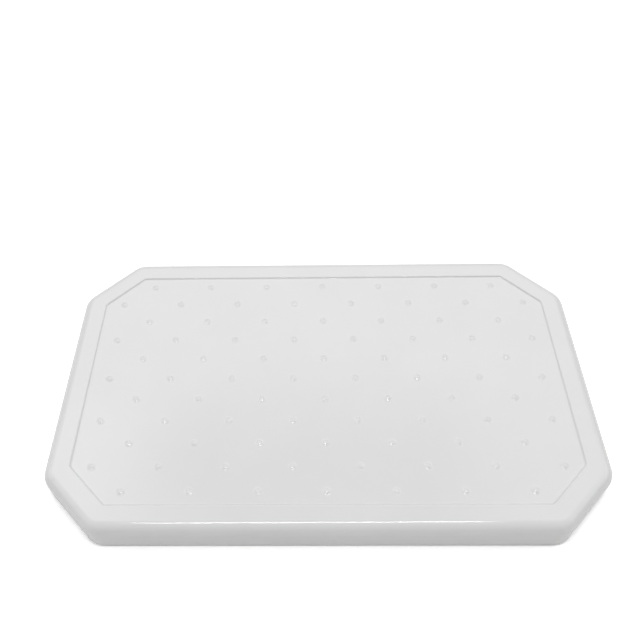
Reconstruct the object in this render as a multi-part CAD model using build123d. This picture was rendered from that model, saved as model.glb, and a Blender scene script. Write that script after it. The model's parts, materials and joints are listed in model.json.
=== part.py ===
"""Short encapsulated diving board: a moulded shell with a studded tread, closed over a wooden core.

Millimetres. +X runs along the board, +Y towards its back edge, +Z up. The origin is on the floor under
the board's centre. The board lies on its rubber pads.
"""

import os
from math import cos, pi, sin, sqrt

from build123d import *

# --- outline of the board -------------------------------------------------------------------------
LENGTH = 751.0  # over the side walls, just under the rounded top edge
WIDTH = 456.0
HEIGHT = 47.5  # floor to the top of the rim
CORNER_CUT = 75.0  # each leg of the 45 degree corner cuts
CORNER_R = 31.0  # radius of the eight upright corners
EDGE_R = 15.5  # radius of the rounded top edge
FLARE = 0.3  # how far the walls lean out by the time they reach the bottom
PAD_STANDOUT = 1.5  # how far the pads hold the walls off the floor
BOTTOM_EDGE_R = 2.5  # round on the outside of the bottom edge

# --- tread ----------------------------------------------------------------------------------------
RIM = 35.0  # from the side wall to the top of the step down to the tread
RECESS = 2.2  # depth of the tread below the rim
STEP_RUN = 1.8  # how far the sloping step reaches inwards
STEP_R = 1.6  # rounds at the top and the bottom of the step
STEP_CORNER_R = 7.0  # radius of the step's corners, seen from above
STUD_PITCH_X = 89.0
STUD_PITCH_Y = 34.7
STUD_ROWS = 11
STUDS_IN_END_ROW = 7  # rows alternate between this many studs and one more
STUD_D = 9.2  # of the dome where it would meet the tread without its root
STUD_H = 1.55
STUD_ROOT_R = 8.0  # wide fillet that blends each stud into the tread

# --- shell, pan and laminates ---------------------------------------------------------------------
WALL = 4.0  # thickness of the moulded skin
PAN_RECESS = 3.0  # from the bottom edge of the walls up to the underside of the pan
PAN_T = 3.0
LAMINATE_T = 1.5
BEAD_LEG = 2.5  # leg of the triangular sealant bead

# --- core -----------------------------------------------------------------------------------------
RAIL_W = 38.0  # width of the eight rails of the perimeter frame
STRINGERS = 4
STRINGER_W = 32.0
STRINGER_PITCH = 80.0
DOWEL_R = 5.0
DOWEL_L = 50.0

# --- hardware -------------------------------------------------------------------------------------
BOLT_SPACING_X = 400.0
INSERT_BORE_R = 5.0
INSERT_BODY_R = 8.0
INSERT_BODY_L = 26.0  # above the underside of the pan
INSERT_BORE_L = 22.0
INSERT_FLANGE_R = 13.0
INSERT_FLANGE_T = 1.5
GASKET_T = 1.0
PAD_R = 19.0
PAD_GAP = 5.0  # between a pad and the wall, clear of the sealant
PAD_EDGE_R = 1.0
PAD_HEAD_R = 6.5  # pocket for the screw's head
PAD_FLOOR_T = 2.2  # rubber left between the pocket and the pan
SCREW_R = 2.4
SCREW_HEAD_R = 4.6
SCREW_HEAD_T = 2.4
SCREW_L = 18.0  # above the underside of the pan
DRIVE_R = 1.5  # hexagon socket in the head
DRIVE_DEPTH = 1.3
PAN_SCREWS_LONG = 4  # along each long rail
PAN_SCREWS_SHORT = 2  # along each end rail

# --- worked out -----------------------------------------------------------------------------------
WALL_BOTTOM = PAD_STANDOUT
TREAD_Z = HEIGHT - RECESS
PAN_Z = WALL_BOTTOM + PAN_RECESS
PAN_TOP = PAN_Z + PAN_T
CORE_BOTTOM = PAN_TOP + LAMINATE_T
CORE_TOP = TREAD_Z - WALL - LAMINATE_T
CAVITY_INSET = WALL
CHAMFER_SHARE = 2 - sqrt(2)  # how much a 45 degree cut shortens for each unit of inset
RAIL_INSET = CAVITY_INSET + RAIL_W
STRINGER_Y = [(i - (STRINGERS - 1) / 2) * STRINGER_PITCH for i in range(STRINGERS)]
BOLTS = [(x, y) for x in (-BOLT_SPACING_X / 2, BOLT_SPACING_X / 2) for y in (STRINGER_Y[0], STRINGER_Y[-1])]


def corner_points(inset):
    """The eight corners of the outline moved in by inset, anticlockwise from the front edge's left end."""
    x, y = LENGTH / 2 - inset, WIDTH / 2 - inset
    cut = CORNER_CUT - inset * CHAMFER_SHARE
    return [
        (-x + cut, -y), (x - cut, -y), (x, -y + cut), (x, y - cut),
        (x - cut, y), (-x + cut, y), (-x, y - cut), (-x, -y + cut),
    ]


def outline(inset, z, corner_r=None):
    """The rounded eight-sided outline as a face at height z."""
    face = make_face(Polyline(*corner_points(inset), close=True))
    rounded = fillet(face.vertices(), CORNER_R - inset if corner_r is None else corner_r)
    return Pos(0, 0, z) * rounded


def slab(inset, bottom, top, taper=0.0):
    """A block of the outline from one height to another."""
    return extrude(outline(inset, bottom), top - bottom, taper=taper)


def hole(x, y, r, bottom, top):
    """An upright cylinder, used as a cutter or a shank."""
    return Pos(x, y, (bottom + top) / 2) * Cylinder(r, top - bottom)


def edges_at(solid, z):
    """The edges of a solid that lie at height z."""
    boxes = [(e, e.bounding_box()) for e in solid.edges()]
    return [e for e, box in boxes if abs(box.min.Z - z) < 1e-4 and abs(box.max.Z - z) < 1e-4]


# --- positions that repeat ------------------------------------------------------------------------
def stud_places():
    """Staggered rows of studs, front to back."""
    for row in range(STUD_ROWS):
        count = STUDS_IN_END_ROW + row % 2
        for i in range(count):
            yield (i - (count - 1) / 2) * STUD_PITCH_X, (row - (STUD_ROWS - 1) / 2) * STUD_PITCH_Y


def rail_corners(side):
    """Four corners of one rail: two beyond the cavity's wall and two on the frame's inner edge."""
    outer, inner = corner_points(CAVITY_INSET - 2), corner_points(RAIL_INSET)
    after = (side + 1) % 8
    return [outer[side], outer[after], inner[after], inner[side]]


def pad_place(side):
    """The centre of the pad beside a corner cut, seen from above."""
    points = corner_points(CAVITY_INSET + PAD_GAP + PAD_R)
    (x0, y0), (x1, y1) = points[side], points[(side + 1) % 8]
    return (x0 + x1) / 2, (y0 + y1) / 2


def pan_screw_places():
    """Evenly spaced screws along the two long rails and the two end rails."""
    points = corner_points(CAVITY_INSET + RAIL_W / 2)
    for side in (0, 2, 4, 6):
        count = PAN_SCREWS_LONG if side % 4 == 0 else PAN_SCREWS_SHORT
        (x0, y0), (x1, y1) = points[side], points[side + 1]
        for i in range(count):
            share = (i + 0.5) / count
            yield x0 + (x1 - x0) * share, y0 + (y1 - y0) * share


CORNER_SIDES = {1: "front_right", 3: "back_right", 5: "back_left", 7: "front_left"}
LONG_SIDES = {0: "front", 2: "right", 4: "back", 6: "left"}
PAD_PLACES = {name: pad_place(side) for side, name in CORNER_SIDES.items()}
PAN_SCREWS = list(pan_screw_places())


# --- tools that several pieces share --------------------------------------------------------------
def cavity():
    """The space inside the shell's walls, with its own rounded top edge."""
    block = slab(CAVITY_INSET, WALL_BOTTOM, HEIGHT - WALL)
    return fillet(edges_at(block, HEIGHT - WALL), EDGE_R - WALL)


def step_block(grow, bottom):
    """The sunken tread's shape, wider at the top: grow moves its sloping sides outwards."""
    slope = STEP_RUN / RECESS
    top = bottom + RECESS + 1
    low = outline(RIM + STEP_RUN - grow, bottom, STEP_CORNER_R)
    high = outline(RIM + STEP_RUN - grow - slope * (top - bottom), top, STEP_CORNER_R)
    return loft([low, high], ruled=True)


CAVITY = cavity()
CORE_SPACE = CAVITY - step_block(WALL, TREAD_Z - WALL)


def layer(bottom, top):
    """A slice of the space inside the shell."""
    span = Box(LENGTH, WIDTH, top - bottom)
    return CORE_SPACE & Pos(0, 0, (bottom + top) / 2) * span


# --- the pieces -----------------------------------------------------------------------------------
def stud_cap():
    """One domed stud, sunk a little into the tread so that it fuses."""
    dome_r = (STUD_D**2 / 4 + STUD_H**2) / (2 * STUD_H)
    sunk = 1.0
    ball = Pos(0, 0, STUD_H - dome_r) * Sphere(dome_r)
    return ball & Pos(0, 0, (STUD_H - sunk) / 2) * Box(STUD_D * 2, STUD_D * 2, STUD_H + sunk)


def top_shell():
    """The moulded skin: walls, rounded rim, step, sunken tread and studs in one piece."""
    wall_h = HEIGHT - WALL_BOTTOM
    taper = FLARE / wall_h * 180 / pi
    body = slab(-FLARE, WALL_BOTTOM, HEIGHT, taper=taper)
    body = fillet(edges_at(body, HEIGHT), EDGE_R)
    body = fillet(edges_at(body, WALL_BOTTOM), BOTTOM_EDGE_R)
    recess = step_block(0, TREAD_Z)
    body = body - fillet(edges_at(recess, TREAD_Z), STEP_R)
    body = fillet(inner_rim_edges(body), STEP_R)
    body = body - CORE_SPACE
    cap = stud_cap()
    body = body + [Pos(x, y, TREAD_Z) * cap for x, y in stud_places()]
    circles = [e for e in edges_at(body, TREAD_Z) if e.geom_type == GeomType.CIRCLE]
    return fillet([e for e in circles if abs(e.radius - STUD_D / 2) < 1e-3], STUD_ROOT_R)


def inner_rim_edges(body):
    """The edges where the flat of the rim breaks into the step."""
    reach = LENGTH / 2 - RIM + 1
    boxes = [(e, e.bounding_box()) for e in edges_at(body, HEIGHT)]
    return [e for e, box in boxes if -reach < box.min.X and box.max.X < reach]


def screw_cutters():
    """Clearance for every screw and insert that passes the pan and goes into the core."""
    cutters = [hole(x, y, SCREW_R, PAN_Z - 5, PAN_Z + SCREW_L) for x, y in PAN_SCREWS]
    cutters += [hole(x, y, SCREW_R, PAN_Z - 5, PAN_Z + SCREW_L) for x, y in PAD_PLACES.values()]
    cutters += [hole(x, y, INSERT_BODY_R, PAN_Z - 5, PAN_Z + INSERT_BODY_L) for x, y in BOLTS]
    return cutters


def countersink(x, y):
    """The cone of a countersunk head, with its wide end at the underside of the pan."""
    return Pos(x, y, PAN_Z + SCREW_HEAD_T / 2) * Cone(SCREW_HEAD_R, SCREW_R, SCREW_HEAD_T)


def bottom_pan():
    """The flat sheet that closes the underside."""
    pan = layer(PAN_Z, PAN_TOP) - screw_cutters()
    return pan - [countersink(x, y) for x, y in PAN_SCREWS]


def sealant_bead():
    """A triangular bead in the corner between the pan and the walls."""
    top = slab(CAVITY_INSET, PAN_Z - BEAD_LEG, PAN_Z)
    middle = loft([outline(CAVITY_INSET + BEAD_LEG, PAN_Z), outline(CAVITY_INSET, PAN_Z - BEAD_LEG)])
    return top - middle


def laminate(bottom, pierced):
    """A glass-fibre laminate over the whole core."""
    sheet = layer(bottom, bottom + LAMINATE_T)
    return sheet - screw_cutters() if pierced else sheet


def rim_filler():
    """Bonding filler under the rim, around the sunken tread."""
    return layer(CORE_TOP + LAMINATE_T, HEIGHT - WALL)


def dowel_places():
    """Both ends of each stringer, on the joint with the frame: x, y."""
    half = LENGTH / 2 - RAIL_INSET
    for y in STRINGER_Y:
        cut = max(0.0, abs(y) - (corner_points(RAIL_INSET)[3][1]))
        for side in (-1, 1):
            yield side * (half - cut), y


def dowels():
    """Round hardwood dowels that tie the stringers into the frame."""
    z = (CORE_BOTTOM + CORE_TOP) / 2
    return [Pos(x, y, z) * Rot(0, 90, 0) * Cylinder(DOWEL_R, DOWEL_L) for x, y in dowel_places()]


def rail(side):
    """One mitred rail of the perimeter frame, shaped to the shell's wall."""
    block = make_face(Polyline(*rail_corners(side), close=True))
    block = extrude(Pos(0, 0, CORE_BOTTOM) * block, CORE_TOP - CORE_BOTTOM)
    return (CORE_SPACE & block) - screw_cutters() - dowels()


def core_strip(front, back):
    """A strip of the core between the frame's rails, running along the board."""
    inside = make_face(Polyline(*corner_points(RAIL_INSET), close=True))
    inside = extrude(Pos(0, 0, CORE_BOTTOM) * inside, CORE_TOP - CORE_BOTTOM)
    return inside & Pos(0, (front + back) / 2, 0) * Box(LENGTH, back - front, 2 * CORE_TOP)


def stringer(index):
    """One laminated stringer, drilled for its dowels and inserts."""
    y = STRINGER_Y[index]
    return core_strip(y - STRINGER_W / 2, y + STRINGER_W / 2) - screw_cutters() - dowels()


def foam_strip(index):
    """One closed-cell foam strip between two stringers, or between a stringer and a rail."""
    frame = WIDTH / 2 - RAIL_INSET
    front = STRINGER_Y[index - 1] + STRINGER_W / 2 if index > 0 else -frame
    back = STRINGER_Y[index] - STRINGER_W / 2 if index < STRINGERS else frame
    return core_strip(front, back) - screw_cutters()


def threaded_insert(x, y):
    """A flanged blind insert, put in from below."""
    face = PAN_Z - GASKET_T
    body = hole(x, y, INSERT_BODY_R, face, PAN_Z + INSERT_BODY_L)
    body += hole(x, y, INSERT_FLANGE_R, face - INSERT_FLANGE_T, face)
    return body - hole(x, y, INSERT_BORE_R, face - INSERT_FLANGE_T, PAN_Z + INSERT_BORE_L)


def insert_gasket(x, y):
    """The sealing ring under an insert's flange."""
    ring = hole(x, y, INSERT_FLANGE_R, PAN_Z - GASKET_T, PAN_Z)
    return ring - hole(x, y, INSERT_BODY_R, PAN_Z - GASKET_T, PAN_Z)


def rubber_pad(x, y):
    """A round pad with a pocket that hides its screw."""
    pad = hole(x, y, PAD_R, 0, PAN_Z)
    pad = fillet(edges_at(pad, 0), PAD_EDGE_R)
    pad -= hole(x, y, PAD_HEAD_R, 0, PAN_Z - PAD_FLOOR_T)
    return pad - hole(x, y, SCREW_R, 0, PAN_Z)


def socket(x, y, face):
    """The hexagon drive in a screw's head."""
    return extrude(Pos(x, y, face) * RegularPolygon(DRIVE_R, 6), DRIVE_DEPTH)


def pan_screw(x, y):
    """A countersunk screw, flush with the pan."""
    return countersink(x, y) + hole(x, y, SCREW_R, PAN_Z, PAN_Z + SCREW_L) - socket(x, y, PAN_Z)


def pad_screw(x, y):
    """A flat-headed screw inside a pad's pocket."""
    seat = PAN_Z - PAD_FLOOR_T
    head = hole(x, y, SCREW_HEAD_R, seat - DRIVE_DEPTH, seat)
    shank = hole(x, y, SCREW_R, seat, PAN_Z + SCREW_L)
    return head + shank - socket(x, y, seat - DRIVE_DEPTH)


def write(name, shape):
    """One STEP file for each named piece, or for a group of identical loose pieces."""
    if isinstance(shape, (list, ShapeList)):
        shape = Compound(children=[s for piece in shape for s in piece.solids()])
    export_step(shape, f"parts/{name}.step")


os.makedirs("parts", exist_ok=True)
write("top_shell", top_shell())
write("bottom_pan", bottom_pan())
write("sealant_bead", sealant_bead())
write("bottom_laminate", laminate(PAN_TOP, pierced=True))
write("top_laminate", laminate(CORE_TOP, pierced=False))
write("rim_filler", rim_filler())
for side, name in LONG_SIDES.items():
    write(f"{name}_rail", rail(side))
for side, name in CORNER_SIDES.items():
    write(f"{name}_corner_rail", rail(side))
for i in range(STRINGERS):
    write(f"stringer_{i + 1}", stringer(i))
for i in range(STRINGERS + 1):
    write(f"foam_strip_{i + 1}", foam_strip(i))
write("frame_dowels", dowels())
for i, (x, y) in enumerate(BOLTS):
    write(f"threaded_insert_{i + 1}", threaded_insert(x, y))
write("insert_gaskets", [insert_gasket(x, y) for x, y in BOLTS])
for name, (x, y) in PAD_PLACES.items():
    write(f"{name}_pad", rubber_pad(x, y))
write("pad_screws", [pad_screw(x, y) for x, y in PAD_PLACES.values()])
write("pan_screws", [pan_screw(x, y) for x, y in PAN_SCREWS])
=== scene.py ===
"""Looks for the moulded diving board: skin, materials, floor, lights and camera.

All in the CAD frame, in metres.
"""

import json
import math

import bmesh
import bpy
from mathutils import Matrix, Vector, geometry


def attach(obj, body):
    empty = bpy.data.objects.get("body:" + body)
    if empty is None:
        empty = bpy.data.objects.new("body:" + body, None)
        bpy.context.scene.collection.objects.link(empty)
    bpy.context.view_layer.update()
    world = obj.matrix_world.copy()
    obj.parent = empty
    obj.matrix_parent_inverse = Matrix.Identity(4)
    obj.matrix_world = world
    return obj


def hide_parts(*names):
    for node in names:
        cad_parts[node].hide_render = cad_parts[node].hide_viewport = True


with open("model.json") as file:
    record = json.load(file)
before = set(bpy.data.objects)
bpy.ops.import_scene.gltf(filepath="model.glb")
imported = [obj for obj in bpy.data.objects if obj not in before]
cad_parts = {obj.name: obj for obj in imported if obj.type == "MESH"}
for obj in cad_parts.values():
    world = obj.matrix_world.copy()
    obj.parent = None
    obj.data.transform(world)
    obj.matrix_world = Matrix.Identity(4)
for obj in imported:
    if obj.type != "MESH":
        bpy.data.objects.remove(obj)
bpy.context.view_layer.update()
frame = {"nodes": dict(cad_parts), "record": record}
MM = 0.001

# --- sizes of the skin, in millimetres, the same as the CAD shell's -----------------------------
LENGTH, WIDTH, HEIGHT = 751.0, 456.0, 47.5
CORNER_CUT, CORNER_R = 75.0, 31.0
EDGE_R, BOTTOM_EDGE_R = 15.5, 2.5
FLARE, WALL_BOTTOM = 0.3, 1.5  # how far the wall leans out at its foot, and the foot's height
RIM, RECESS, STEP_RUN, STEP_R, STEP_CORNER_R = 35.0, 2.2, 1.8, 1.6, 7.0
WALL = 4.0
STUD_PITCH_X, STUD_PITCH_Y, STUD_ROWS, STUDS_IN_END_ROW = 89.0, 34.7, 11, 7
STUD_D, STUD_H, STUD_ROOT_R = 9.2, 1.55, 8.0
TREAD_Z = HEIGHT - RECESS
HALF_TURN = math.radians(22.5)  # half of what the outline turns at each of its eight corners

# --- mesh fineness ------------------------------------------------------------------------------
CORNER_STEPS = 12
SIDE_STEP, LEAST_CUTS = 9.0, 4  # mm between the cuts of a straight side, and its fewest cuts
STEP_ARC, EDGE_ARC, BOTTOM_ARC, INNER_ARC = 6, 26, 10, 8  # segments of the wall's rounds
STUD_SEGMENTS, ROOT_RINGS, DOME_RINGS = 40, 4, 8
SHARP = 0.001  # mm between two rings that share a sharp edge
SNAP = 1e-5  # mm, the tread's points that are closer than this count as one
WITHIN = 0.999  # share of a stud's root circle inside which the tread is left open
ON_EDGE = -1e-6  # a point this little outside a loop still counts as inside


# --- the outline's rings ------------------------------------------------------------------------
def corner_points(inset):
    """The outline's eight corners before rounding, moved in by inset."""
    x, y = LENGTH / 2 - inset, WIDTH / 2 - inset
    cut = CORNER_CUT - inset * (2 - math.sqrt(2))
    return [
        (-x + cut, -y), (x - cut, -y), (x, -y + cut), (x, y - cut),
        (x - cut, y), (-x + cut, y), (-x, y - cut), (-x, -y + cut),
    ]


OUTLINE = corner_points(0)
SIDE_CUTS = [
    max(LEAST_CUTS, round(math.dist(p, q) / SIDE_STEP))
    for p, q in zip(OUTLINE, OUTLINE[1:] + OUTLINE[:1])
]


def ring(inset, corner_r):
    """Points of a rounded outline and their outward directions, anticlockwise.

    Every ring has the same number of points in the same order.
    """
    corners = [Vector(p) for p in corner_points(inset)]
    arcs = []
    for i, p in enumerate(corners):
        along = (p - corners[i - 1]).normalized()
        onward = (corners[(i + 1) % 8] - p).normalized()
        out_a = Vector((along.y, -along.x))
        centre = p - along * corner_r * math.tan(HALF_TURN) - out_a * corner_r
        turn = math.atan2(along.cross(onward), along.dot(onward))
        start = math.atan2(out_a.y, out_a.x)
        arc = []
        for k in range(CORNER_STEPS + 1):
            angle = start + turn * k / CORNER_STEPS
            out = Vector((math.cos(angle), math.sin(angle)))
            arc.append((centre + out * corner_r, out))
        arcs.append(arc)
    points = []
    for i in range(8):
        points += arcs[i]
        (p, out), (q, _) = arcs[i][-1], arcs[(i + 1) % 8][0]
        points += [(p.lerp(q, k / SIDE_CUTS[i]), out) for k in range(1, SIDE_CUTS[i])]
    return points


def wall_section():
    """Rings from the tread's edge over the rim, down the wall, up inside and back under the tread.

    Each is (inset, height, normal outwards, normal upwards, corner radius).
    """
    slope = math.atan2(RECESS, STEP_RUN)
    tangent = STEP_R * math.tan(slope / 2)
    lean = math.atan2(FLARE, HEIGHT - WALL_BOTTOM)
    rows = []

    def lean_at(z):
        return -FLARE * (HEIGHT - z) / (HEIGHT - WALL_BOTTOM)

    def arc(centre_in, centre_z, r, first, last, steps, bulge=1, corner=None):
        """A round from one angle to another in degrees; bulge is -1 where it is hollow."""
        for k in range(steps + 1):
            angle = math.radians(first + (last - first) * k / steps)
            out, up = math.cos(angle), math.sin(angle)
            inset = centre_in - bulge * r * out
            radius = CORNER_R - inset if corner is None else corner
            rows.append((inset, centre_z + bulge * r * up, out, up, radius))

    steep = math.degrees(slope)
    foot_in = RIM + STEP_RUN + tangent
    arc(foot_in, TREAD_Z + STEP_R, STEP_R, 90, 90 + steep, STEP_ARC, -1, STEP_CORNER_R)
    arc(RIM - tangent, HEIGHT - STEP_R, STEP_R, 90 + steep, 90, STEP_ARC, 1, STEP_CORNER_R)
    top_in = lean_at(HEIGHT - EDGE_R) + EDGE_R / math.cos(lean)
    arc(top_in, HEIGHT - EDGE_R, EDGE_R, 90, math.degrees(lean), EDGE_ARC)
    low_z = WALL_BOTTOM + BOTTOM_EDGE_R
    low_in = lean_at(low_z) + BOTTOM_EDGE_R / math.cos(lean)
    arc(low_in, low_z, BOTTOM_EDGE_R, math.degrees(lean), -90, BOTTOM_ARC)
    rows.append((WALL - SHARP, WALL_BOTTOM, 0, -1, CORNER_R - WALL))
    rows.append((WALL, WALL_BOTTOM + SHARP, -1, 0, CORNER_R - WALL))
    outside = len(rows)
    arc(EDGE_R, HEIGHT - EDGE_R, EDGE_R - WALL, 0, 90, INNER_ARC)
    rows[outside:] = [(inset, z, -out, -up, radius) for inset, z, out, up, radius in rows[outside:]]
    under = TREAD_Z - WALL
    back = RIM + STEP_RUN - WALL
    rows.append((back - STEP_RUN, under + RECESS, 0, -1, STEP_CORNER_R))
    rows.append((back, under, 0, -1, STEP_CORNER_R))
    return rows


def stud_places():
    """The studs' centres: staggered rows, every second one with one stud more."""
    for row in range(STUD_ROWS):
        count = STUDS_IN_END_ROW + row % 2
        y = (row - (STUD_ROWS - 1) / 2) * STUD_PITCH_Y
        for i in range(count):
            yield (i - (count - 1) / 2) * STUD_PITCH_X, y


def stud_section():
    """Rings from the root to just below the crown.

    Each is (radius, height above the tread, normal outwards, normal upwards).
    """
    ball = (STUD_D**2 / 4 + STUD_H**2) / (2 * STUD_H)
    low = STUD_H - ball
    reach = math.sqrt((ball + STUD_ROOT_R) ** 2 - (STUD_ROOT_R - low) ** 2)
    tilt = math.atan2(reach, STUD_ROOT_R - low)
    rows = []
    for k in range(ROOT_RINGS + 1):
        t = tilt * k / ROOT_RINGS
        out, up = math.sin(t), math.cos(t)
        rows.append((reach - STUD_ROOT_R * out, STUD_ROOT_R * (1 - up), out, up))
    for k in range(1, DOME_RINGS):
        t = tilt * (1 - k / DOME_RINGS)
        out, up = math.sin(t), math.cos(t)
        rows.append((ball * out, low + ball * up, out, up))
    return rows


def build_skin():
    """The shell as one closed mesh: the wall's rings, the studs and the flat tread between."""
    bm = bmesh.new()
    normals = []

    def vert(x, y, z, normal):
        normals.append(normal)
        return bm.verts.new((x * MM, y * MM, z * MM))

    rings = []
    for inset, z, out, up, radius in wall_section():
        loop = []
        for p, away in ring(inset, radius):
            loop.append(vert(p.x, p.y, z, (away.x * out, away.y * out, up)))
        rings.append(loop)
    count = len(rings[0])
    for inner, outer in zip(rings, rings[1:]):
        for k in range(count):
            j = (k + 1) % count
            bm.faces.new((inner[k], outer[k], outer[j], inner[j]))
    bm.faces.new(list(reversed(rings[-1])))

    flat_points = [Vector((v.co.x, v.co.y)) / MM for v in rings[0]]
    flat_verts = list(rings[0])
    edges = [(k, (k + 1) % count) for k in range(count)]
    section = stud_section()
    places = list(stud_places())
    for x, y in places:
        loops = []
        for r, h, out, up in section:
            loop = []
            for s in range(STUD_SEGMENTS):
                a = 2 * math.pi * s / STUD_SEGMENTS
                c, d = math.cos(a), math.sin(a)
                loop.append(vert(x + r * c, y + r * d, TREAD_Z + h, (out * c, out * d, up)))
            loops.append(loop)
        crown = vert(x, y, TREAD_Z + STUD_H, (0, 0, 1))
        for low, high in zip(loops, loops[1:]):
            for s in range(STUD_SEGMENTS):
                t = (s + 1) % STUD_SEGMENTS
                bm.faces.new((low[s], low[t], high[t], high[s]))
        for s in range(STUD_SEGMENTS):
            bm.faces.new((loops[-1][s], loops[-1][(s + 1) % STUD_SEGMENTS], crown))
        base = len(flat_points)
        flat_points += [Vector((v.co.x, v.co.y)) / MM for v in loops[0]]
        flat_verts += loops[0]
        edges += [(base + s, base + (s + 1) % STUD_SEGMENTS) for s in range(STUD_SEGMENTS)]
    found, _, faces, origin, _, _ = geometry.delaunay_2d_cdt(flat_points, edges, [], 0, SNAP)
    root = section[0][0]
    for face in faces:
        middle = sum((found[i] for i in face), Vector((0, 0))) / len(face)
        if any(math.dist(middle, place) < root * WITHIN for place in places):
            continue
        if inside(middle, flat_points[:count]):
            bm.faces.new([flat_verts[origin[i][0]] for i in face])
    bm.normal_update()
    mesh = bpy.data.meshes.new("shell_skin")
    for face in bm.faces:
        face.smooth = True
    bm.to_mesh(mesh)
    bm.free()
    mesh.normals_split_custom_set_from_vertices(normals)
    obj = bpy.data.objects.new("shell_skin", mesh)
    bpy.context.scene.collection.objects.link(obj)
    return obj


def inside(point, loop):
    """True if a point lies inside a convex loop given anticlockwise."""
    for k, p in enumerate(loop):
        q = loop[(k + 1) % len(loop)]
        if (q - p).cross(point - p) < ON_EDGE:
            return False
    return True


# --- materials ----------------------------------------------------------------------------------
WAVE_PERIOD = 0.32  # about how many metres lie between the bands of a wave texture at scale 1
FIBRE_STRETCH = (0.04, 1, 1)  # draws wood's texture out along the grain


def new_material(name, colour, roughness, metallic=0.0):
    """A Principled material, with its node tree and its shader node."""
    mat = bpy.data.materials.new(name)
    mat.use_nodes = True
    tree = mat.node_tree
    shader = tree.nodes["Principled BSDF"]
    shader.inputs["Base Color"].default_value = (*colour, 1)
    shader.inputs["Roughness"].default_value = roughness
    shader.inputs["Metallic"].default_value = metallic
    return mat, tree, shader


def node(tree, kind, **values):
    """Adds a node. Names that start with in_ set its inputs, the others its own properties."""
    made = tree.nodes.new(kind)
    for key, value in values.items():
        if key.startswith("in_"):
            made.inputs[key[3:].replace("_", " ")].default_value = value
        else:
            setattr(made, key, value)
    return made


def coordinates(tree):
    """Object space, which for every piece here is the shared frame in metres."""
    return node(tree, "ShaderNodeTexCoord").outputs["Object"]


def noise(tree, scale, detail=3.0, roughness=0.5, stretch=None):
    """A noise texture in object space, scale in cells per metre; stretch scales each axis."""
    source = coordinates(tree)
    if stretch is not None:
        mapping = node(tree, "ShaderNodeMapping")
        mapping.inputs["Scale"].default_value = stretch
        tree.links.new(source, mapping.inputs["Vector"])
        source = mapping.outputs["Vector"]
    made = node(tree, "ShaderNodeTexNoise", in_Scale=scale, in_Detail=detail)
    made.inputs["Roughness"].default_value = roughness
    tree.links.new(source, made.inputs["Vector"])
    return made.outputs["Fac"]


def spread(tree, value, low, high, from_low=0.3, from_high=0.7):
    """Maps a value's range to low and high; the default is where most of a noise texture lies."""
    made = node(tree, "ShaderNodeMapRange")
    made.inputs["From Min"].default_value = from_low
    made.inputs["From Max"].default_value = from_high
    made.inputs["To Min"].default_value = low
    made.inputs["To Max"].default_value = high
    tree.links.new(value, made.inputs["Value"])
    return made.outputs["Result"]


def mixed(tree, operation, first, second):
    """Two values joined by a maths operation, such as ADD."""
    made = node(tree, "ShaderNodeMath", operation=operation)
    tree.links.new(first, made.inputs[0])
    tree.links.new(second, made.inputs[1])
    return made.outputs[0]


def worn_edges(tree, radius):
    """Grows towards sharp edges, from how far a bevelled normal leans off the true one."""
    soft = node(tree, "ShaderNodeBevel", samples=4, in_Radius=radius)
    true = node(tree, "ShaderNodeNewGeometry")
    lean = node(tree, "ShaderNodeVectorMath", operation="DOT_PRODUCT")
    tree.links.new(soft.outputs["Normal"], lean.inputs[0])
    tree.links.new(true.outputs["Normal"], lean.inputs[1])
    return spread(tree, lean.outputs["Value"], 0.6, 0.0, 0.9, 1.0)


def uneven_gloss(tree, shader, value, low, high):
    """Roughness between two values, driven by a texture."""
    tree.links.new(spread(tree, value, low, high), shader.inputs["Roughness"])


def tint(tree, shader, value, dark, light):
    """Base colour between two tones, the first where the value is 0."""
    ramp = node(tree, "ShaderNodeValToRGB")
    ramp.color_ramp.elements[0].color = (*dark, 1)
    ramp.color_ramp.elements[1].color = (*light, 1)
    tree.links.new(value, ramp.inputs["Fac"])
    tree.links.new(ramp.outputs["Color"], shader.inputs["Base Color"])


def bump(tree, shader, value, height, strength=1.0, after=None):
    """Relief of a height in metres, on top of an earlier one if that is given."""
    made = node(tree, "ShaderNodeBump", in_Strength=strength, in_Distance=height)
    tree.links.new(value, made.inputs["Height"])
    if after is not None:
        tree.links.new(after, made.inputs["Normal"])
    tree.links.new(made.outputs["Normal"], shader.inputs["Normal"])
    return made.outputs["Normal"]


def moulded_white():
    """Glossy gelcoat: clouded off-white, uneven gloss, a moulding's faint waves and pinholes."""
    mat, tree, shader = new_material("moulded_white", (0.73, 0.73, 0.73), 0.08)
    shader.inputs["IOR"].default_value = 1.5
    cloud = spread(tree, noise(tree, 14, 4, 0.6), 0.0, 1.0)
    tint(tree, shader, cloud, (0.722, 0.722, 0.722), (0.738, 0.738, 0.738))
    uneven_gloss(tree, shader, noise(tree, 60, 3), 0.06, 0.09)
    wave = bump(tree, shader, noise(tree, 22, 2), 0.00004)
    bump(tree, shader, noise(tree, 420, 2), 0.000008, after=wave)
    return mat


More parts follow.
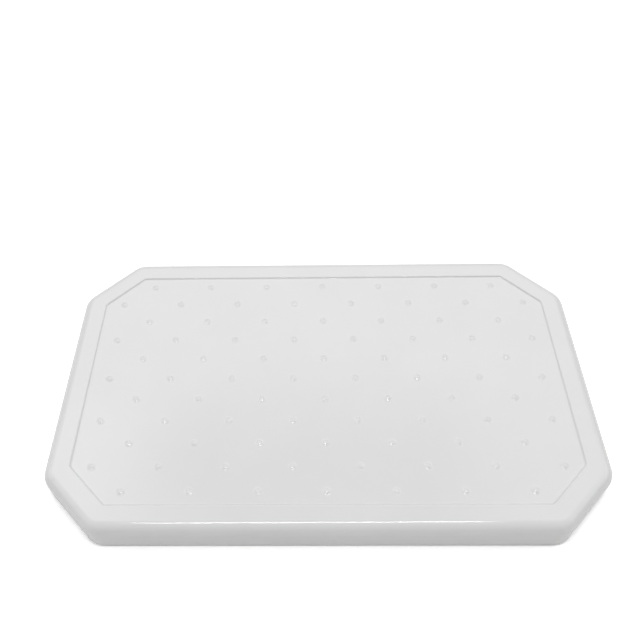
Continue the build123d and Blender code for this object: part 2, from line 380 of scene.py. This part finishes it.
def pebbled(name, dark, light, roughness, scale, height, scuffs=0.0):
    """Matt moulded sheet: a pebble grain, blotchy tone and, with scuffs, paler rubbed streaks."""
    mat, tree, shader = new_material(name, light, roughness)
    shade = spread(tree, noise(tree, 18, 5, 0.65), 0, 1)
    rubbed = spread(tree, noise(tree, 40, 6, 0.7, stretch=(0.15, 1, 1)), 0, scuffs, 0.55, 0.75)
    tint(tree, shader, mixed(tree, "ADD", shade, rubbed), dark, light)
    rough = spread(tree, noise(tree, 70, 4), roughness * 0.85, roughness * 1.15)
    tree.links.new(mixed(tree, "SUBTRACT", rough, rubbed), shader.inputs["Roughness"])
    cells = node(tree, "ShaderNodeTexVoronoi", feature="SMOOTH_F1", in_Scale=scale)
    tree.links.new(coordinates(tree), cells.inputs["Vector"])
    grain = bump(tree, shader, cells.outputs["Distance"], height)
    bump(tree, shader, noise(tree, scale * 0.12, 3), height * 2, 0.5, after=grain)
    return mat


def woven_glass():
    """Cured glass cloth: over-and-under threads in a greenish resin with small cloudy patches."""
    mat, tree, shader = new_material("glass_laminate", (0.68, 0.73, 0.62), 0.35)
    shader.inputs["IOR"].default_value = 1.52
    threads = []
    for axis in ("X", "Y"):
        wave = node(tree, "ShaderNodeTexWave", in_Scale=160, in_Distortion=0.6)
        wave.bands_direction = axis
        tree.links.new(coordinates(tree), wave.inputs["Vector"])
        threads.append(wave.outputs["Fac"])
    weave = mixed(tree, "MULTIPLY", threads[0], threads[1])
    cloud = spread(tree, noise(tree, 30, 4), 0, 0.5)
    tone = mixed(tree, "ADD", spread(tree, weave, 0, 0.5, 0, 1), cloud)
    tint(tree, shader, tone, (0.52, 0.58, 0.44), (0.72, 0.76, 0.66))
    uneven_gloss(tree, shader, noise(tree, 90, 3), 0.28, 0.45)
    bump(tree, shader, weave, 0.00008)
    return mat


def wood(name, dark, light, along, ring, gloss=0.6, plies=0.0):
    """Planed wood. along is the grain's direction in degrees from +X, ring its growth rings' width.

    With plies, dark glue lines stacked that far apart up the height take the rings' place.
    """
    mat, tree, shader = new_material(name, light, gloss)
    turned = node(tree, "ShaderNodeMapping")
    turned.inputs["Rotation"].default_value = (0, 0, math.radians(-along))
    tree.links.new(coordinates(tree), turned.inputs["Vector"])
    fibre = node(tree, "ShaderNodeMapping")
    fibre.inputs["Scale"].default_value = FIBRE_STRETCH
    tree.links.new(turned.outputs["Vector"], fibre.inputs["Vector"])
    bands = node(tree, "ShaderNodeTexWave", in_Detail=3.0, in_Detail_Scale=0.6)
    bands.bands_direction = "Z" if plies else "Y"
    bands.inputs["Scale"].default_value = WAVE_PERIOD / (plies or ring)
    bands.inputs["Distortion"].default_value = 0.3 if plies else 5.0
    tree.links.new(fibre.outputs["Vector"], bands.inputs["Vector"])
    streak = node(tree, "ShaderNodeTexNoise", in_Scale=700, in_Detail=5.0, in_Roughness=0.65)
    tree.links.new(fibre.outputs["Vector"], streak.inputs["Vector"])
    rings = spread(tree, bands.outputs["Fac"], 0, 0.7, 0, 1)
    fine = spread(tree, streak.outputs["Fac"], -0.15, 0.35)
    tint(tree, shader, mixed(tree, "ADD", rings, fine), light, dark)
    uneven_gloss(tree, shader, streak.outputs["Fac"], gloss * 0.85, gloss * 1.15)
    pores = bump(tree, shader, streak.outputs["Fac"], 0.00008)
    bump(tree, shader, bands.outputs["Fac"], 0.00010, 0.6, after=pores)
    return mat


def closed_foam():
    """Rigid foam: open cut cells over coarser lumps, yellowed in patches."""
    mat, tree, shader = new_material("core_foam", (0.84, 0.78, 0.60), 0.9)
    cells = node(tree, "ShaderNodeTexVoronoi", in_Scale=900)
    tree.links.new(coordinates(tree), cells.inputs["Vector"])
    cut = spread(tree, cells.outputs["Distance"], 0, 0.6, 0, 0.7)
    tone = mixed(tree, "ADD", cut, spread(tree, noise(tree, 12, 4), 0, 0.4))
    tint(tree, shader, tone, (0.70, 0.60, 0.38), (0.88, 0.83, 0.66))
    uneven_gloss(tree, shader, noise(tree, 200, 3), 0.82, 0.95)
    pits = bump(tree, shader, cells.outputs["Distance"], 0.0004)
    bump(tree, shader, noise(tree, 260, 3), 0.0002, after=pits)
    return mat


def steel(name, dark, light, roughness):
    """Drawn stainless steel: fine marks along the upright, stains and edges rubbed brighter."""
    mat, tree, shader = new_material(name, light, roughness, 1.0)
    marks = noise(tree, 900, 3, 0.7, stretch=(1, 1, 0.12))
    stain = spread(tree, noise(tree, 160, 5, 0.7), 0, 0.7)
    tint(tree, shader, mixed(tree, "ADD", stain, worn_edges(tree, 0.0006)), dark, light)
    uneven_gloss(tree, shader, marks, roughness * 0.75, roughness * 1.3)
    bump(tree, shader, marks, 0.000015)
    return mat


def rubber(name, dark, light, roughness):
    """Moulded rubber: a fine grain, a bloom of dust and paler rubbed edges."""
    mat, tree, shader = new_material(name, dark, roughness)
    dust = spread(tree, noise(tree, 90, 6, 0.7), 0, 0.8, 0.45, 0.75)
    tint(tree, shader, mixed(tree, "ADD", dust, worn_edges(tree, 0.0008)), dark, light)
    uneven_gloss(tree, shader, noise(tree, 300, 3), roughness * 0.85, roughness * 1.1)
    grain = bump(tree, shader, noise(tree, 1400, 3), 0.00004)
    bump(tree, shader, noise(tree, 160, 3), 0.00008, 0.5, after=grain)
    return mat


def smeared(name, dark, light, roughness, scale, height):
    """Sealant or putty pressed in by hand: smear marks, lumps and a patchy gloss."""
    mat, tree, shader = new_material(name, light, roughness)
    lumps = noise(tree, scale, 5, 0.6)
    tint(tree, shader, spread(tree, noise(tree, scale * 0.3, 5, 0.65), 0, 1), dark, light)
    uneven_gloss(tree, shader, lumps, roughness * 0.75, roughness * 1.15)
    drag = bump(tree, shader, noise(tree, scale * 2, 3, 0.6, stretch=(0.3, 0.3, 1)), height)
    bump(tree, shader, lumps, height * 2, 0.6, after=drag)
    return mat


# --- build --------------------------------------------------------------------------------------
skin = build_skin()
skin.data.materials.append(moulded_white())
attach(skin, "root")
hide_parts("top_shell")

# each look has its dark tone, then its light one
SOFTWOOD = (0.46, 0.27, 0.12), (0.72, 0.50, 0.29)
PLYWOOD = (0.42, 0.26, 0.13), (0.72, 0.54, 0.34)
HARDWOOD = (0.60, 0.43, 0.25), (0.78, 0.63, 0.44)
PAN_WHITE = (0.65, 0.65, 0.64), (0.70, 0.70, 0.69)
SEALANT_WHITE = (0.70, 0.70, 0.69), (0.80, 0.80, 0.79)
PUTTY = (0.58, 0.56, 0.50), (0.74, 0.72, 0.66)
INSERT_STEEL = (0.50, 0.50, 0.51), (0.64, 0.64, 0.65)
SCREW_STEEL = (0.52, 0.52, 0.53), (0.68, 0.68, 0.69)
GASKET_BLACK = (0.03, 0.03, 0.03), (0.07, 0.07, 0.07)
PAD_BLACK = (0.05, 0.05, 0.05), (0.12, 0.12, 0.12)
LOOKS = {
    "pan": pebbled("pan_white", *PAN_WHITE, 0.5, 700, 0.00005, scuffs=0.2),
    "sealant": smeared("sealant_white", *SEALANT_WHITE, 0.35, 130, 0.00006),
    "laminate": woven_glass(),
    "filler": smeared("filler_putty", *PUTTY, 0.8, 220, 0.00015),
    "stringer_wood": wood("stringer_wood", *PLYWOOD, 0, 0.004, plies=0.003),
    "foam": closed_foam(),
    "dowel_wood": wood("dowel_wood", *HARDWOOD, 0, 0.002, gloss=0.5),
    "insert_steel": steel("insert_steel", *INSERT_STEEL, 0.3),
    "gasket_rubber": rubber("gasket_rubber", *GASKET_BLACK, 0.7),
    "pad_rubber": rubber("pad_rubber", *PAD_BLACK, 0.72),
    "screw_steel": steel("screw_steel", *SCREW_STEEL, 0.26),
}
RAILS = {  # the direction of each rail's grain, in degrees from +X
    "front_rail": 0, "back_rail": 0, "left_rail": 90, "right_rail": 90,
    "front_right_corner_rail": 45, "back_left_corner_rail": 45,
    "back_right_corner_rail": -45, "front_left_corner_rail": -45,
}
rail_looks = {
    angle: wood(f"frame_wood_{angle % 180}", *SOFTWOOD, angle, 0.005) for angle in (0, 90, 45, -45)
}
slot_of = {s["node"]: s["material_slot"] for s in frame["record"]["subparts"]}
for name, obj in frame["nodes"].items():
    look = rail_looks[RAILS[name]] if name in RAILS else LOOKS.get(slot_of[name])
    if look is not None:
        obj.data.materials.clear()
        obj.data.materials.append(look)

# --- floor --------------------------------------------------------------------------------------
FLOOR_ALBEDO = 0.93
FLOOR_LIFT = 1.45  # looks this much brighter than it lights the board, as if overexposed
# the floor ends where the lights fade, so that no grey edge shows in low views
FLOOR_SIDE, FLOOR_FRONT, FLOOR_BACK = 2.1, -1.4, 2.4
floor_mesh = bpy.data.meshes.new("floor")
floor_corners = [
    (-FLOOR_SIDE, FLOOR_FRONT, 0), (FLOOR_SIDE, FLOOR_FRONT, 0),
    (FLOOR_SIDE, FLOOR_BACK, 0), (-FLOOR_SIDE, FLOOR_BACK, 0),
]
floor_mesh.from_pydata(floor_corners, [], [(0, 1, 2, 3)])
floor = bpy.data.objects.new("floor", floor_mesh)
bpy.context.scene.collection.objects.link(floor)
floor_mat = bpy.data.materials.new("floor_white")
floor_mat.use_nodes = True
tree = floor_mat.node_tree
tree.nodes.clear()
seen = node(tree, "ShaderNodeLightPath")
tone = node(tree, "ShaderNodeMix", data_type="RGBA")
tone.inputs["A"].default_value = (FLOOR_ALBEDO,) * 3 + (1,)
tone.inputs["B"].default_value = (FLOOR_ALBEDO * FLOOR_LIFT,) * 3 + (1,)
matt = node(tree, "ShaderNodeBsdfDiffuse")
out = node(tree, "ShaderNodeOutputMaterial")
tree.links.new(seen.outputs["Is Camera Ray"], tone.inputs["Factor"])
tree.links.new(tone.outputs["Result"], matt.inputs["Color"])
tree.links.new(matt.outputs["BSDF"], out.inputs["Surface"])
floor_mesh.materials.append(floor_mat)


# --- lights -------------------------------------------------------------------------------------
def softbox(name, place, aim, width, height, watts, fade=None, turn=0.0):
    """A rectangular area light, its sizes in metres.

    fade holds the shares of its width and of its height over which it dims at each end. turn is in
    degrees about the line from the light to its aim.
    """
    data = bpy.data.lights.new(name, "AREA")
    data.shape = "RECTANGLE"
    data.size, data.size_y, data.energy = width, height, watts
    if fade:
        data.use_nodes = True
        tree = data.node_tree
        glow = tree.nodes["Emission"]
        where = node(tree, "ShaderNodeNewGeometry")
        axes = node(tree, "ShaderNodeSeparateXYZ")
        tree.links.new(where.outputs["Parametric"], axes.inputs["Vector"])
        product = node(tree, "ShaderNodeMath", operation="MULTIPLY")
        for k, axis in enumerate("XY"):
            inward = node(tree, "ShaderNodeMath", operation="PINGPONG")
            inward.inputs[1].default_value = 0.5  # the light runs from 0 to 1 on each axis
            tree.links.new(axes.outputs[axis], inward.inputs[0])
            edge = node(tree, "ShaderNodeMapRange", interpolation_type="SMOOTHSTEP")
            edge.inputs["From Max"].default_value = fade[k]
            tree.links.new(inward.outputs[0], edge.inputs["Value"])
            tree.links.new(edge.outputs["Result"], product.inputs[k])
        tree.links.new(product.outputs[0], glow.inputs["Strength"])
    obj = bpy.data.objects.new(name, data)
    obj.location = place
    obj.rotation_euler = (Vector(aim) - Vector(place)).to_track_quat("-Z", "Y").to_euler()
    obj.rotation_euler.rotate_axis("Z", math.radians(turn))
    bpy.context.scene.collection.objects.link(obj)


# Lights that overlap hang at different heights: a reflected ray meets only one of two in one plane.
CEILING, BELOW = 2.2, 2.17
WORLD_LIGHT = 0.404
WORLD_SEEN = 0.96  # how bright the world looks beyond the floor's edge
FLANK, FLANK_FADE = (1.85, 1.73), (0.35, 0.405)
SIDE, SIDE_FADE = (2.4, 2.2), (0.4, 0.4)
softbox("bar", (-0.02, -0.29, CEILING), (-0.02, -0.29, 0), 1.53, 0.22, 16.0, turn=14)
softbox("panel", (0.05, 2.03, CEILING), (0.05, 2.03, 0), 4.4, 2.2, 34.8, (0.1, 0.318))
softbox("panelL", (-1.375, 0.765, BELOW), (-1.375, 0.765, 0), *FLANK, 16.8, FLANK_FADE)
softbox("panelR", (1.375, 0.765, BELOW), (1.375, 0.765, 0), *FLANK, 9.9, FLANK_FADE)
softbox("left", (-2.2, 0.2, 1.3), (0, 0, 0), *SIDE, 16.7, SIDE_FADE)
softbox("right", (2.2, 0.2, 1.3), (0, 0, 0), *SIDE, 20.1, SIDE_FADE)
world = bpy.data.worlds.new("studio")
bpy.context.scene.world = world
world.use_nodes = True
tree = world.node_tree
glow = tree.nodes["Background"]
glow.inputs["Color"].default_value = (1, 1, 1, 1)
glow.inputs["Strength"].default_value = WORLD_LIGHT
wall = node(tree, "ShaderNodeBackground", in_Color=(1, 1, 1, 1), in_Strength=WORLD_SEEN)
seen = node(tree, "ShaderNodeLightPath")
either = node(tree, "ShaderNodeMixShader")
tree.links.new(seen.outputs["Is Camera Ray"], either.inputs["Fac"])
tree.links.new(glow.outputs["Background"], either.inputs[1])
tree.links.new(wall.outputs["Background"], either.inputs[2])
tree.links.new(either.outputs["Shader"], tree.nodes["World Output"].inputs["Surface"])

# --- camera -------------------------------------------------------------------------------------
LENS, SENSOR = 38.717, 36.0  # millimetres
SHIFT = (0.03625, -0.00297)  # of the sensor's width
PITCH, YAW, ROLL = (math.radians(a) for a in (51.62, 1.68, 1.72))
# from the camera to the board's middle at the rim's height: right, up, ahead
OFFSET = Vector((0.03963, -0.08488, 0.99038))
level = Vector((math.cos(YAW), math.sin(YAW), 0))
ahead_flat = Vector((-math.sin(YAW), math.cos(YAW), 0))
ahead = ahead_flat * math.cos(PITCH) - Vector((0, 0, math.sin(PITCH)))
upward = ahead_flat * math.sin(PITCH) + Vector((0, 0, math.cos(PITCH)))
right = level * math.cos(ROLL) - upward * math.sin(ROLL)
up = level * math.sin(ROLL) + upward * math.cos(ROLL)
place = -(right * OFFSET.x + up * OFFSET.y + ahead * OFFSET.z) + Vector((0, 0, HEIGHT * MM))
camera_data = bpy.data.cameras.new("camera")
camera_data.sensor_width = SENSOR
camera_data.lens = LENS
camera_data.shift_x, camera_data.shift_y = SHIFT
camera = bpy.data.objects.new("camera", camera_data)
camera.matrix_world = Matrix.Translation(place) @ Matrix((right, up, -ahead)).transposed().to_4x4()
bpy.context.scene.collection.objects.link(camera)
bpy.context.scene.camera = camera
bpy.context.scene.view_settings.view_transform = "Standard"
